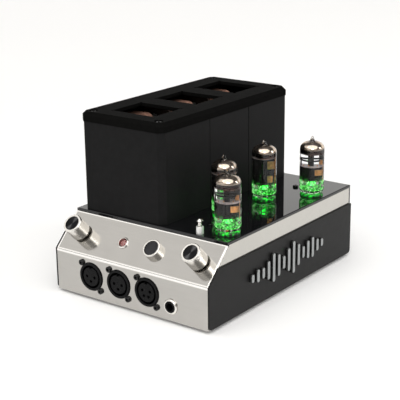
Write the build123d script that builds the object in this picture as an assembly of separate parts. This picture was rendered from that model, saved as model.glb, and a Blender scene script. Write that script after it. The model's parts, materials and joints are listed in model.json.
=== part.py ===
from build123d import *
from math import cos, pi, radians, sin, tan
import os

# A valve headphone amplifier. Millimetres, +Z up, the control panel faces -Y. The origin is under
# the middle of the whole amplifier, on the surface that it stands on. Everything is drawn about
# the middle of the chassis, and moved by origin_shift when it is written.

# --- Driving dimensions: chassis -------------------------------------------------------------
chassis_width = 151.6
chassis_depth = 210.0
base_height = 2.6            # underside of the chassis above the table
fold_height = 37.3           # where the upright front turns into the sloping control panel
panel_rise = 25.5            # height gained by the sloping panel
panel_slope = 45.0           # degrees from level
sheet = 1.5                  # stainless sheet
seam = 0.3                   # gap left between neighbouring sheets
bend_radius = 0.5            # inside radius of the folds
lip_depth = 10.0             # turned-in edge under the front and the rear panel
deck_thickness = 2.3
deck_chamfer = 0.4
side_plate_thickness = 1.5
side_plate_top = 48.4
side_plate_clearance = 0.5   # underside of the side plate above the underside of the chassis
side_plate_corner = 3.0
side_plate_top_corner = 1.0

# --- Driving dimensions: transformer cover ---------------------------------------------------
lid_width = 85.0
lid_length = 179.4
lid_thickness = 7.6
lid_bevel = 2.9
lid_corner = 4.9
lid_top = 146.4              # the highest point of the amplifier
lid_overhang = 0.5
cover_x = -28.85             # middle of the cover from the middle of the chassis
cover_y = 12.0
cover_wall = 2.0
lid_spigot = 3.0             # depth of the rim that locates the lid inside the cover
spigot_clearance = 0.2
spigot_wall = 1.5
groove_width = 0.9
groove_depth = 0.6
window_width = 42.0
window_length = 35.5
window_corner_relief = 1.2
lid_skin = 3.0               # metal left over the hollow underside of the lid
transformer_pitch = 55.0
lid_screw_inset_x = 9.0      # screw from the lid's long edge
lid_screw_inset_y = 8.2
lid_screw_sink = 0.6
lid_screw_well_radius = 3.6
lid_post_radius = 4.65

# --- Driving dimensions: transformers --------------------------------------------------------
leg_spacing = 42.0           # between the middles of a core's two legs
core_length = 51.0
core_stack = 22.0
core_leg = 13.0
yoke_width = 8.0
coil_height = 40.0
coil_build = 8.0             # wire thickness around the leg
coil_end_gap = 0.6
coil_top_gap = 3.5           # coil below the underside of the lid's skin
bobbin_clearance = 0.4
bracket_thickness = 1.6
tie_bolt_radius = 2.0
tie_bolt_clearance = 0.2
bolt_flats = 5.6
bolt_head = 2.4
bolt_tail = 3.5
wire_hole_radius = 8.0

# --- Driving dimensions: valves --------------------------------------------------------------
outer_valve_x = 63.0
outer_valve_y = 61.0         # front and rear valve, each side of the chassis middle
inner_valve_x = 36.5
inner_valve_y = 28.5
valve_radius = 10.3
valve_height = 48.3          # glass, from the underside to the sealed tip
glass_wall = 0.8
glass_base = 2.4
dome_drop = 10.6             # shoulder of the glass below its tip
nipple_radius = 2.6
tip_radius = 0.8
socket_radius = 9.6
socket_stand = 2.4           # ceramic above the deck
socket_depth = 16.0
socket_flange_border = 1.3
socket_flange = 1.2
seat_gap = 0.3               # glass above the socket
pin_circle_radius = 5.95
pin_radius = 0.5
pin_length = 6.5
pin_clearance = 0.15
led_radius = 2.4
led_clearance = 0.15
mica_heights = (11.0, 21.3, 33.2)
mica_radius = 8.3
mica_thickness = 0.5
anode_spacing = 7.6
anode_width = 6.8
anode_depth = 8.4
anode_wall = 0.5
cathode_radius = 0.8
getter_height = 37.0
getter_wire = 0.55
rod_radius = 0.4
hole_clearance = 0.3

# --- Driving dimensions: control panel -------------------------------------------------------
knob_x = 59.2                # volume to the right, load selector to the left
button_x = 15.4
pilot_x = -15.4
knob_radius = 8.0
knob_height = 14.0
knob_gap = 2.0               # space between the knob and the panel
knob_rim = 1.85
knob_recess = 1.0
knob_disc_thickness = 0.6
knob_socket_radius = 6.2     # hollow under the knob, over the nut
knob_socket_depth = 3.0
knob_bevel = 0.5
shaft_radius = 3.0
shaft_depth_in_knob = 9.0
shaft_clearance = 0.05       # running fit of a shaft in its bush
bush_radius = 4.6
bush_height = 4.2            # threaded bush above the panel
nut_flats = 10.5
nut_thickness = 1.6
control_radius = 12.0        # can of the potentiometer and of the selector switch
control_depth = 10.0
button_radius = 7.5
button_stand = 4.8
button_wall = 1.35
button_cap_clearance = 0.2
button_cap_thickness = 3.0
button_travel = 2.0
button_barrel_radius = 6.9
button_barrel_length = 9.0
button_stem_radius = 2.0
button_switch_length = 7.0
pilot_radius = 4.8
pilot_stand = 1.2
pilot_jewel_radius = 3.7
pilot_barrel_radius = 4.2
pilot_depth = 11.0

# --- Driving dimensions: toggle switch -------------------------------------------------------
toggle_x = 45.9
toggle_from_front = 31.3     # behind the upright front
toggle_bush_wall = 0.5
toggle_bush_height = 5.6
toggle_pivot_height = 3.4    # pivot above the deck
toggle_ball_clearance = 0.35
toggle_neck_radius = 1.5
toggle_neck_clearance = 0.45  # left at the end of the lever's throw
toggle_cap_radius = 2.7
toggle_height = 11.7
toggle_body_length = 9.0
toggle_body_width = 6.0
toggle_body_depth = 11.0
toggle_throw = 12.0          # degrees each way

# --- Driving dimensions: sockets -------------------------------------------------------------
xlr_first_x = -39.2
xlr_spacing = 3.5            # between neighbouring flanges
xlr_floor_gap = 1.0          # between the chassis floor and the lowest flanges
xlr_bore_radius = 9.6
xlr_wall = 1.9
xlr_ring_gap = 1.7           # room for the plug's shell around the insert
xlr_stand = 0.9
xlr_depth = 19.0
xlr_insert_recess = 0.0      # below the ring's front face
xlr_back_wall = 4.0
xlr_pin_circle = 3.9
xlr_contact_hole = 1.25
xlr_contact_radius = 0.95
xlr_flange_border = 1.0
xlr_flange_thickness = 1.6
xlr_screw_slope = 47.3       # degrees from level, screw from the socket's middle
xlr_screw_gap = 0.06
rear_xlr_x = 38.0
rear_xlr_height = 33.0
jack_height = 14.4
jack_bore_radius = 3.25
jack_bush_radius = 4.6
jack_stand = 1.5
jack_depth = 24.0
jack_body_width = 15.0
jack_body_height = 13.0
jack_bush_stand = 0.3         # bush beyond its ring nut
thread_clearance = 0.05
jack_bore_depth = 20.0
jack_nut_radius = 6.1
rca_x = -9.0
rca_pitch = 18.0
rca_height = 20.0
rca_radius = 4.15
rca_stand = 12.0
rca_collar_radius = 6.0
rca_collar = 2.0
rca_bore_radius = 3.4
rca_pin_hole = 1.6
inlet_x = -48.0
inlet_height = 28.0
inlet_width = 31.0
inlet_tall = 42.0
inlet_flange = 3.0
inlet_mouth_width = 24.5
inlet_mouth_height = 16.5
inlet_mouth_depth = 15.0
inlet_body_depth = 24.0
inlet_blade_width = 4.0
inlet_blade_thickness = 2.0
inlet_blade_spacing = 7.0
drawer_width = 22.0
drawer_height = 8.0
drawer_depth = 18.0
drawer_clearance = 0.2
drawer_face_stand = 0.8
inlet_wall = 2.5

# --- Driving dimensions: small parts ---------------------------------------------------------
screw_head_radius = 2.45
screw_head_height = 1.8
screw_head_round = 0.8
screw_shank_radius = 1.45
screw_hole_radius = 1.7
screw_length = 6.0
hex_flats = 2.0
deck_screw_places = ((40.5, 72.0), (41.5, -54.0))
foot_radius = 8.0
foot_inset_x = 10.5
foot_inset_y = 19.0
badge_bars = 15
badge_length = 107.0
badge_middle_height = 28.5
badge_tall = 28.0
badge_short = 7.0
badge_bar_width = 3.8
badge_back_thickness = 1.8
badge_face_thickness = 1.0
badge_face_border = 0.5
board_width = 132.0
board_length = 138.0
board_thickness = 1.6
board_height = 12.0
board_y = 0.0
standoff_radius = 3.0
standoff_inset = 5.0
capacitor_radius = 9.0
capacitor_height = 30.0
capacitor_pitch = 26.0
capacitor_first_x = -46.0
capacitor_first_y = -22.0

# --- Worked-out places -----------------------------------------------------------------------
slope = radians(panel_slope)
front_y = -chassis_depth / 2
rear_y = chassis_depth / 2
side_x = chassis_width / 2
panel_run = panel_rise / tan(slope)
top_height = fold_height + panel_rise
deck_height = top_height + deck_thickness
panel_middle = panel_rise / sin(slope) / 2
half_turn = (pi / 2 - slope) / 2
floor_height = base_height + sheet
side_outer_x = side_x + side_plate_thickness
knob_top = knob_gap + knob_height
knob_reach = (knob_top - knob_bevel) * sin(slope) + knob_radius * cos(slope) - panel_run / 2
origin_shift = (knob_reach - rca_stand) / 2
body_width = lid_width - 2 * lid_overhang
body_length = lid_length - 2 * lid_overhang
body_corner = lid_corner
lid_bottom = lid_top - lid_thickness
cover_rows = [cover_y + step * transformer_pitch for step in (-1, 0, 1)]
coil_top = lid_top - lid_skin - coil_top_gap
core_middle_height = coil_top - coil_height / 2
valve_places = (
    (outer_valve_x, -outer_valve_y),
    (inner_valve_x, -inner_valve_y),
    (inner_valve_x, inner_valve_y),
    (outer_valve_x, outer_valve_y),
)
valve_bottom = deck_height + socket_stand + seat_gap
socket_flange_radius = socket_radius + socket_flange_border
toggle_y = front_y + toggle_from_front
toggle_swing = (toggle_bush_height - toggle_pivot_height) * tan(radians(toggle_throw))
toggle_bore_radius = toggle_neck_radius + toggle_swing + toggle_neck_clearance
toggle_bush_radius = toggle_bore_radius + toggle_bush_wall
toggle_ball_radius = toggle_bore_radius - toggle_ball_clearance
xlr_radius = xlr_bore_radius + xlr_wall
xlr_insert_radius = xlr_bore_radius - xlr_ring_gap
xlr_flange_width = 2 * (xlr_radius + xlr_flange_border)
xlr_pitch = xlr_flange_width + xlr_spacing
xlr_screw_reach = xlr_radius + screw_head_radius + xlr_screw_gap
xlr_screw_x = xlr_screw_reach * cos(radians(xlr_screw_slope))
xlr_screw_z = xlr_screw_reach * sin(radians(xlr_screw_slope))
xlr_flange_height = 2 * (xlr_screw_z + screw_hole_radius + 2 * xlr_flange_border)
xlr_height = floor_height + sheet + xlr_floor_gap + xlr_flange_height / 2
xlr_front_places = [(xlr_first_x + step * xlr_pitch, xlr_height) for step in range(3)]
jack_x = xlr_front_places[-1][0] + (xlr_flange_width + jack_body_width) / 2 + xlr_spacing
xlr_pin_counts = (3, 3, 4)
xlr_rear_places = [(rear_xlr_x + side * xlr_pitch / 2, rear_xlr_height) for side in (-1, 1)]
rca_places = [(rca_x + side * rca_pitch / 2, rca_height) for side in (-1, 1)]
AT_BASE = (Align.CENTER, Align.CENTER, Align.MIN)


# --- Helpers ---------------------------------------------------------------------------------
def block(x_span, y_span, z_span):
    """A box between two limits on each axis."""
    spans = (x_span, y_span, z_span)
    size = [high - low for low, high in spans]
    middle = [(high + low) / 2 for low, high in spans]
    return Pos(*middle) * Box(*size)


def rod(plane, radius, start, end, x=0, y=0):
    """A round bar along a plane's normal, between two distances from the plane."""
    return plane * Pos(x, y, start) * Cylinder(radius, end - start, align=AT_BASE)


def pipe(plane, radius, bore, start, end):
    """A round tube along a plane's normal."""
    return rod(plane, radius, start, end) - rod(plane, bore, start - 1, end + 1)


def side_outline(points, low_x, high_x):
    """A solid with a y, z outline between two x positions."""
    face = make_face(Polyline(*[(low_x, y, z) for y, z in points], close=True))
    return extrude(face, amount=high_x - low_x, dir=(1, 0, 0))


def hexagon(plane, flats, start, end):
    """A hexagonal bar along a plane's normal, measured across its flats."""
    face = RegularPolygon(flats / 2, 6, major_radius=False)
    return plane * Pos(0, 0, start) * extrude(face, amount=end - start)


def on_panel(x):
    """The sloping control panel's middle line at x, with its normal outwards."""
    origin = (x, front_y + panel_middle * cos(slope), fold_height + panel_middle * sin(slope))
    return Plane(origin=origin, x_dir=(1, 0, 0), z_dir=(0, -sin(slope), cos(slope)))


def on_front(x, z):
    return Plane(origin=(x, front_y, z), x_dir=(1, 0, 0), z_dir=(0, -1, 0))


def on_rear(x, z):
    return Plane(origin=(x, rear_y, z), x_dir=(-1, 0, 0), z_dir=(0, 1, 0))


def on_deck(x, y):
    return Plane(origin=(x, y, deck_height), x_dir=(1, 0, 0), z_dir=(0, 0, 1))


def group(shapes):
    """Separate solids that share one node."""
    return Compound([solid for shape in shapes for solid in shape.solids()])


def front_offset(depth, height):
    """The y of a line that runs behind the sloping panel by depth, at a height."""
    return front_y + (height - fold_height) / tan(slope) + depth / sin(slope)


# --- Sheet-metal case ------------------------------------------------------------------------
def make_front_panel():
    """Upright front and sloping control panel, folded from one sheet."""
    inner_fold = fold_height - sheet * tan(half_turn)
    points = [
        (front_y, base_height),
        (front_y, fold_height),
        (front_y + panel_run, top_height),
        (front_y + panel_run + sheet * sin(slope), top_height - sheet * cos(slope)),
        (front_y + sheet, inner_fold),
        (front_y + sheet, floor_height),
        (front_y + lip_depth, floor_height),
        (front_y + lip_depth, base_height),
    ]
    panel = side_outline(points, -side_x, side_x)
    folds = panel.edges().filter_by(Axis.X)
    outer = folds.sort_by_distance((0, front_y, fold_height))[0]
    panel = fillet(outer, bend_radius + sheet)
    inner = panel.edges().filter_by(Axis.X).sort_by_distance((0, front_y + sheet, inner_fold))[0]
    panel = fillet(inner, bend_radius)
    reach = 3 * sheet
    for x, z in xlr_front_places:
        panel -= rod(on_front(x, z), xlr_radius + hole_clearance, -reach, reach)
        for side in (-1, 1):
            place = on_front(x + side * xlr_screw_x, z - side * xlr_screw_z)
            panel -= rod(place, screw_hole_radius, -reach, reach)
    panel -= rod(on_front(jack_x, jack_height), jack_bush_radius + hole_clearance, -reach, reach)
    for x in (-knob_x, knob_x):
        panel -= rod(on_panel(x), bush_radius + hole_clearance, -reach, reach)
    panel -= rod(on_panel(button_x), button_barrel_radius + hole_clearance, -reach, reach)
    panel -= rod(on_panel(pilot_x), pilot_barrel_radius + hole_clearance, -reach, reach)
    return panel


def make_chassis_shell():
    """Floor and two side walls, folded from one sheet. The side walls show above the side plates."""
    inset = sheet + seam
    points = [
        (front_y + inset, floor_height),
        (front_y + inset, fold_height - inset * tan(half_turn)),
        (front_offset(inset, top_height), top_height),
        (rear_y - inset, top_height),
        (rear_y - inset, floor_height),
    ]
    solid = side_outline(points, -side_x, side_x)
    hollow = block(
        (-side_x + sheet, side_x - sheet),
        (front_y - sheet, rear_y + sheet),
        (floor_height + sheet, top_height + sheet),
    )
    shell = solid - hollow
    for x, y in foot_places():
        plane = Plane(origin=(x, y, floor_height))
        shell -= rod(plane, screw_hole_radius, -sheet, 2 * sheet)
    return shell


def foot_places():
    x = side_x - foot_inset_x
    y = chassis_depth / 2 - foot_inset_y
    return [(sx * x, sy * y) for sx in (-1, 1) for sy in (-1, 1)]


def make_feet():
    """Rubber feet, each with a recess for its screw."""
    feet = []
    for x, y in foot_places():
        plane = Plane(origin=(x, y, 0))
        foot = plane * Cone(foot_radius - 1, foot_radius, floor_height, align=AT_BASE)
        foot -= rod(plane, screw_head_radius + 0.4, -1, screw_head_height)
        feet.append(foot - rod(plane, screw_hole_radius, -1, floor_height + 1))
    return group(feet)


def make_rear_panel():
    """Rear panel with a turned-in lower lip and openings for its sockets."""
    upright = block((-side_x, side_x), (rear_y - sheet, rear_y), (base_height, top_height))
    lip = block((-side_x, side_x), (rear_y - lip_depth, rear_y), (base_height, floor_height))
    panel = upright + lip
    reach = 3 * sheet
    for x, z in xlr_rear_places:
        panel -= rod(on_rear(x, z), xlr_radius + hole_clearance, -reach, reach)
        for side in (-1, 1):
            place = on_rear(x - side * xlr_screw_x, z - side * xlr_screw_z)
            panel -= rod(place, screw_hole_radius, -reach, reach)
    for x, z in rca_places:
        panel -= rod(on_rear(x, z), rca_radius + hole_clearance, -reach, reach)
    cut_x = inlet_width / 2 - inlet_flange + hole_clearance
    cut_z = inlet_tall / 2 - inlet_flange + hole_clearance
    panel -= block(
        (inlet_x - cut_x, inlet_x + cut_x),
        (rear_y - reach, rear_y + reach),
        (inlet_height - cut_z, inlet_height + cut_z),
    )
    return panel


def make_top_sheet():
    """Steel sub-deck that carries the transformers and the valve sockets."""
    low_y = front_offset(sheet, top_height) + seam
    sheet_plate = block(
        (-side_x + sheet + 0.1, side_x - sheet - 0.1),
        (low_y, rear_y - sheet - seam),
        (top_height - sheet, top_height),
    )
    return cut_deck_holes(sheet_plate)


def cut_deck_holes(plate):
    """The holes that the deck and the sub-deck share."""
    for x, y in valve_places:
        plate -= rod(on_deck(x, y), socket_radius + hole_clearance, -3 * deck_thickness, deck_thickness)
    for x, y in deck_screw_places:
        plate -= rod(on_deck(x, y), screw_hole_radius, -3 * deck_thickness, deck_thickness)
    toggle = on_deck(toggle_x, toggle_y)
    plate -= rod(toggle, toggle_bush_radius + hole_clearance, -3 * deck_thickness, deck_thickness)
    for y in cover_rows:
        wire_way = Pos(cover_x, y, top_height) * Cylinder(wire_hole_radius, 4 * deck_thickness)
        plate -= wire_way
    return plate


def make_deck_plate():
    """Gloss black plate on top of the chassis."""
    plate = block((-side_x, side_x), (front_y + panel_run + seam, rear_y), (top_height, deck_height))
    plate = chamfer(plate.faces().sort_by(Axis.Z)[-1].edges(), deck_chamfer)
    return cut_deck_holes(plate)


def make_side_plate(side):
    """Black plate outside a side wall. It follows the slope of the front up to its level top."""
    low_z = base_height + side_plate_clearance
    corner_y = front_y + (side_plate_top - fold_height) / tan(slope)
    points = [
        (front_y, low_z),
        (front_y, fold_height),
        (corner_y, side_plate_top),
        (rear_y, side_plate_top),
        (rear_y, low_z),
    ]
    plate = side_outline(points, *sorted((side * side_x, side * side_outer_x)))
    corners = plate.edges().filter_by(Axis.X)
    low_corners = corners.sort_by(Axis.Z)[:2]
    plate = fillet(low_corners, side_plate_corner)
    top_corner = (side * side_outer_x, corner_y, side_plate_top)
    return fillet(plate.edges().filter_by(Axis.X).sort_by_distance(top_corner)[0], side_plate_top_corner)


# --- Transformer cover -----------------------------------------------------------------------
def clipped_rectangle(width, length, corner):
    """A rectangle with its four corners cut at 45 degrees."""
    x, y = width / 2, length / 2
    points = [
        (x - corner, -y), (x, -y + corner), (x, y - corner), (x - corner, y),
        (-x + corner, y), (-x, y - corner), (-x, -y + corner), (-x + corner, -y),
    ]
    return make_face(Polyline(*points, close=True))


def clipped_block(width, length, corner, low_z, high_z):
    """An upright block on a rectangle with cut corners, in the middle of the cover."""
    upright = extrude(clipped_rectangle(width, length, corner), amount=high_z - low_z)
    return Pos(cover_x, cover_y, low_z) * upright


def make_cover_body():
    """Upright tube with cut corners and two shallow grooves down each long side."""
    outer = clipped_block(body_width, body_length, body_corner, deck_height, lid_bottom)
    inner_corner = body_corner - cover_wall * (2 - 2 ** 0.5)
    inner_width = body_width - 2 * cover_wall
    inner_length = body_length - 2 * cover_wall
    hollow = clipped_block(inner_width, inner_length, inner_corner, deck_height - 1, lid_bottom + 1)
    body = outer - hollow
    for y in (cover_y - transformer_pitch / 2, cover_y + transformer_pitch / 2):
        for side in (-1, 1):
            wall_x = cover_x + side * body_width / 2
            body -= block(
                (wall_x - groove_depth, wall_x + groove_depth),
                (y - groove_width / 2, y + groove_width / 2),
                (deck_height - 1, lid_bottom + 1),
            )
    return body


def lid_screw_places():
    x = lid_width / 2 - lid_screw_inset_x
    y = lid_length / 2 - lid_screw_inset_y
    return [(cover_x + sx * x, cover_y + sy * y) for sx in (-1, 1) for sy in (-1, 1)]


def make_cover_lid():
    """Bevelled lid with three ventilation windows and a rim that drops inside the cover."""
    slab = clipped_block(lid_width, lid_length, lid_corner, lid_bottom, lid_top)
    slab = chamfer(slab.faces().sort_by(Axis.Z)[-1].edges(), lid_bevel)
    inner_width = body_width - 2 * cover_wall - 2 * spigot_clearance
    inner_length = body_length - 2 * cover_wall - 2 * spigot_clearance
    inner_corner = body_corner - cover_wall * (2 - 2 ** 0.5)
    spigot = clipped_block(inner_width, inner_length, inner_corner, lid_bottom - lid_spigot, lid_bottom)
    lid = slab + spigot
    pocket_corner = inner_corner - spigot_wall * (2 - 2 ** 0.5)
    pocket = clipped_block(
        inner_width - 2 * spigot_wall, inner_length - 2 * spigot_wall, pocket_corner,
        lid_bottom - lid_spigot - 1, lid_top - lid_skin,
    )
    posts = group([
        Pos(x, y, lid_bottom - lid_spigot) * Cylinder(lid_post_radius, lid_thickness, align=AT_BASE)
        for x, y in lid_screw_places()
    ])
    lid -= pocket - posts
    for y in cover_rows:
        window = Pos(cover_x, y, lid_top) * Box(window_width, window_length, 4 * lid_thickness)
        lid -= window
        for sx in (-1, 1):
            for sy in (-1, 1):
                corner = Pos(cover_x + sx * window_width / 2, y + sy * window_length / 2, lid_top)
                lid -= corner * Cylinder(window_corner_relief, 4 * lid_thickness)
    for x, y in lid_screw_places():
        plane = Plane(origin=(x, y, lid_top))
        lid -= rod(plane, lid_screw_well_radius, -screw_head_height - lid_screw_sink, 1)
        lid -= rod(plane, screw_hole_radius, -3 * lid_thickness, 1)
    return lid


def button_screw(plane, top, length):
    """A domed screw with a hexagon socket. Its head's underside is at top minus the head's height."""
    under = top - screw_head_height
    head = rod(plane, screw_head_radius, under, top)
    rims = head.edges().filter_by(GeomType.CIRCLE)
    head = fillet(rims.sort_by(lambda rim: plane.to_local_coords(rim.center()).Z)[-1], screw_head_round)
    shank = rod(plane, screw_shank_radius, under - length, under)
    return head + shank - hexagon(plane, hex_flats, top - 1.0, top + 1)


def make_lid_screws():
    return group([
        button_screw(Plane(origin=(x, y, lid_top)), -lid_screw_sink, screw_length)
        for x, y in lid_screw_places()
    ])


def make_deck_screws():
    return group([button_screw(on_deck(x, y), screw_head_height, screw_length) for x, y in deck_screw_places])


# --- Transformers ----------------------------------------------------------------------------
def make_transformer_core(y):
    """A laminated ring that lies level, with a leg at each side."""
    outer_x = (leg_spacing + core_leg) / 2
    inner_x = (leg_spacing - core_leg) / 2
    half_y = core_length / 2
    across = (cover_x - outer_x, cover_x + outer_x)
    inside = (cover_x - inner_x, cover_x + inner_x)
    ring = block(across, (y - half_y, y + half_y), (-core_stack / 2, core_stack / 2))
    ring -= block(inside, (y - half_y + yoke_width, y + half_y - yoke_width), (-core_stack, core_stack))
    ring = Pos(0, 0, core_middle_height) * ring
    for bolt_x, bolt_y in tie_bolt_places(y):
        hole = Cylinder(tie_bolt_radius + tie_bolt_clearance, 2 * core_stack)
        ring -= Pos(bolt_x, bolt_y, core_middle_height) * hole
    return ring


def make_transformer_windings(y):
    """Two wound coils, one around each leg of the core."""
    half_length = core_length / 2 - yoke_width - coil_end_gap
    leg = core_leg / 2 + bobbin_clearance
    hole_z = core_stack / 2 + bobbin_clearance
    coils = []
    for side in (-1, 1):
        x = cover_x + side * leg_spacing / 2
        width = leg + coil_build
        along = (y - half_length, y + half_length)
        coil = block((x - width, x + width), along, (coil_top - coil_height, coil_top))
        coil = fillet(coil.edges().filter_by(Axis.Y), coil_build * 0.6)
        coil -= block(
            (x - leg, x + leg),
            (y - half_length - 1, y + half_length + 1),
            (core_middle_height - hole_z, core_middle_height + hole_z),
        )
        coils.append(coil)
    return group(coils)


def tie_bolt_places(y):
    """Bolts through the four corners of a core."""
    bolt_y = (core_length - yoke_width) / 2
    return [(cover_x + sx * leg_spacing / 2, y + sy * bolt_y) for sx in (-1, 1) for sy in (-1, 1)]


def make_transformer_brackets():
    """A channel under each end of each core, standing on the deck."""
    top = core_middle_height - core_stack / 2
    half_x = (leg_spacing + core_leg) / 2
    across = (cover_x - half_x, cover_x + half_x)
    brackets = []
    for y in cover_rows:
        for side in (-1, 1):
            end_y = y + side * core_length / 2
            shelf = sorted((end_y - side * yoke_width, end_y))
            bracket = block(across, sorted((end_y, end_y + side * bracket_thickness)), (deck_height, top))
            for low in (deck_height, top - bracket_thickness):
                bracket += block(across, shelf, (low, low + bracket_thickness))
            for bolt_x, bolt_y in tie_bolt_places(y):
                hole = Cylinder(tie_bolt_radius + tie_bolt_clearance, 4 * bracket_thickness)
                bracket -= Pos(bolt_x, bolt_y, top) * hole
            brackets.append(bracket)
    return group(brackets)


def make_transformer_bolts():
    """Bolts through the corners of the cores, each with a head above and a nut below."""
    bolts = []
    low = -core_stack / 2 - bracket_thickness
    for y in cover_rows:
        for bolt_x, bolt_y in tie_bolt_places(y):
            plane = Plane(origin=(bolt_x, bolt_y, core_middle_height))
            bolt = rod(plane, tie_bolt_radius, low - bolt_tail, core_stack / 2)
            bolt += hexagon(plane, bolt_flats, core_stack / 2, core_stack / 2 + bolt_head)
            bolts.append(bolt + hexagon(plane, bolt_flats, low - bolt_head, low))
    return group(bolts)


# --- Valves ----------------------------------------------------------------------------------
def bulb_face(inset, floor):
    """Half of a valve's glass outline, drawn inside the true outline by inset."""
    radius = valve_radius - inset
    top = valve_height - 2.2 * inset
    shoulder = valve_height - dome_drop - inset / 2
    nipple = max(nipple_radius - inset, 1.2)
    tip = max(tip_radius - inset, 0.3)
    dome_top = valve_height - 6.0 - inset
    foot = 1.4
    drop = dome_top - shoulder
    middle = (nipple + (radius - nipple) * 0.78, shoulder + drop * 0.66)
    neck_end = (tip, dome_top + 3.2 - inset)
    neck_middle = (tip + (nipple - tip) * 0.35, dome_top + 1.1 - inset / 2)
    outline = Polyline((0, floor), (radius - foot, floor), (radius, floor + foot), (radius, shoulder))
    outline += ThreePointArc((radius, shoulder), middle, (nipple, dome_top))
    outline += ThreePointArc((nipple, dome_top), neck_middle, neck_end)
    outline += Polyline(neck_end, (tip, top - tip), (0, top), (0, floor))
    return make_face(outline)


def make_valve_glass(x, y):
    """Sealed glass bulb with a thick pressed base, pierced by the nine pins."""
    shell = revolve(Plane.XZ * bulb_face(0, 0), Axis.Z)
    shell -= revolve(Plane.XZ * bulb_face(glass_wall, glass_base), Axis.Z)
    for px, py in pin_places():
        shell -= Pos(px, py, -1) * Cylinder(pin_radius + 0.05, glass_base + 2, align=AT_BASE)
    return Pos(x, y, valve_bottom) * shell


def pin_places():
    """Nine pins on a circle of ten places, with one left empty as the key."""
    return [
        (pin_circle_radius * cos(2 * pi * step / 10), pin_circle_radius * sin(2 * pi * step / 10))
        for step in range(1, 10)
    ]


def make_valve_electrodes(x, y, long_anodes):
    """Pins, mica spacers, a pair of anodes on their rods, and the getter ring above them."""
    low, middle, high = mica_heights
    mica_levels = [low, high] if long_anodes else [low, middle, high]
    stack = None
    for level in mica_levels:
        disc = Pos(0, 0, level) * Cylinder(mica_radius, mica_thickness, align=AT_BASE)
        stack = disc if stack is None else stack + disc
    for start, end in zip(mica_levels, mica_levels[1:]):
        for side in (-1, 1):
            anode = Pos(side * anode_spacing / 2, 0, start + mica_thickness)
            outer = Box(anode_width, anode_depth, end - start - mica_thickness, align=AT_BASE)
            bore = Box(anode_width - 2 * anode_wall, anode_depth - 2 * anode_wall, end - start, align=AT_BASE)
            cathode = Cylinder(cathode_radius, end - start - mica_thickness, align=AT_BASE)
            stack += anode * (outer - bore + cathode)
    for side in (-1, 1):
        rod_foot = Pos(side * anode_spacing / 2, 0, mica_levels[-1])
        stack += rod_foot * Cylinder(rod_radius, getter_height - mica_levels[-1], align=AT_BASE)
    stack += Pos(0, 0, getter_height) * Torus(anode_spacing / 2, getter_wire)
    for px, py in pin_places():
        pin = Pos(px, py, -pin_length) * Cylinder(pin_radius, pin_length + mica_levels[0], align=AT_BASE)
        stack += pin
    return Pos(x, y, valve_bottom) * stack


def make_valve_sockets():
    """Nine-way sockets, clamped under the sub-deck, with a bore up the middle for a light."""
    sockets = []
    for x, y in valve_places:
        plane = on_deck(x, y)
        under = -deck_thickness - sheet
        body = rod(plane, socket_radius, -socket_depth, socket_stand)
        body = chamfer(body.faces().sort_by(Axis.Z)[-1].edges(), 0.5)
        body += rod(plane, socket_flange_radius, under - socket_flange, under)
        body -= rod(plane, led_radius + led_clearance, -socket_depth - 1, socket_stand + 1)
        for px, py in pin_places():
            hole_bottom = socket_stand - pin_length - 1
            body -= rod(plane, pin_radius + pin_clearance, hole_bottom, socket_stand + 1, px, py)
        sockets.append(body)
    return group(sockets)


def make_valve_lights():
    """Green light-emitting diodes up the middle of the valve sockets."""
    lights = []
    for x, y in valve_places:
        plane = on_deck(x, y)
        top = socket_stand - 0.2
        light = rod(plane, led_radius, -socket_depth + 6, top - led_radius)
        light += plane * Pos(0, 0, top - led_radius) * Sphere(led_radius)
        lights.append(light)
    return group(lights)


# --- Controls on the sloping panel -----------------------------------------------------------
def make_knob(x):
    """Turned metal knob, hollow underneath, with a shallow recess in its face."""
    plane = on_panel(x)
    knob = rod(plane, knob_radius, knob_gap, knob_top)
    rims = knob.edges().filter_by(GeomType.CIRCLE)
    knob = chamfer(rims, knob_bevel)
    knob -= rod(plane, knob_radius - knob_rim, knob_top - knob_recess, knob_top + 1)
    knob -= rod(plane, knob_socket_radius, 0, knob_gap + knob_socket_depth)
    knob -= rod(plane, shaft_radius + shaft_clearance, 0, knob_gap + shaft_depth_in_knob + 0.2)
    return knob


def make_knob_disc(x):
    """Spun black disc in the face of a knob."""
    base = knob_top - knob_recess
    return rod(on_panel(x), knob_radius - knob_rim - 0.1, base, base + knob_disc_thickness)


def make_shaft(x):
    """Spindle from inside the control up into its knob."""
    return rod(on_panel(x), shaft_radius, -sheet - control_depth + 2, knob_gap + shaft_depth_in_knob)


def make_control(x):
    """Round can behind the panel with a threaded bush through it."""
    plane = on_panel(x)
    control = rod(plane, control_radius, -sheet - control_depth, -sheet)
    control += rod(plane, bush_radius, -sheet, bush_height)
    control -= rod(plane, shaft_radius + shaft_clearance, -sheet - control_depth + 1.7, bush_height + 1)
    return control


def make_panel_nuts():
    """Nuts that hold the two controls and the headphone socket to the front."""
    nuts = []
    for x in (-knob_x, knob_x):
        plane = on_panel(x)
        nut = hexagon(plane, nut_flats, 0, nut_thickness)
        nuts.append(nut - rod(plane, bush_radius + thread_clearance, -1, nut_thickness + 1))
    plane = on_front(jack_x, jack_height)
    ring = rod(plane, jack_nut_radius, 0, jack_stand)
    ring = chamfer(ring.faces().sort_by(Axis.Y)[0].edges(), 0.5)
    nuts.append(ring - rod(plane, jack_bush_radius + thread_clearance, -1, jack_stand + 1))
    return group(nuts)


def make_button_bezel():
    """Bright collar of the push button with its threaded barrel."""
    plane = on_panel(button_x)
    bezel = rod(plane, button_radius, 0, button_stand)
    bezel = fillet(bezel.edges().filter_by(GeomType.CIRCLE).sort_by(Axis.Z)[-1], 0.5)
    bezel += rod(plane, button_barrel_radius, -button_barrel_length, 0)
    return bezel - rod(plane, button_radius - button_wall, -button_barrel_length - 1, button_stand + 1)


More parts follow.
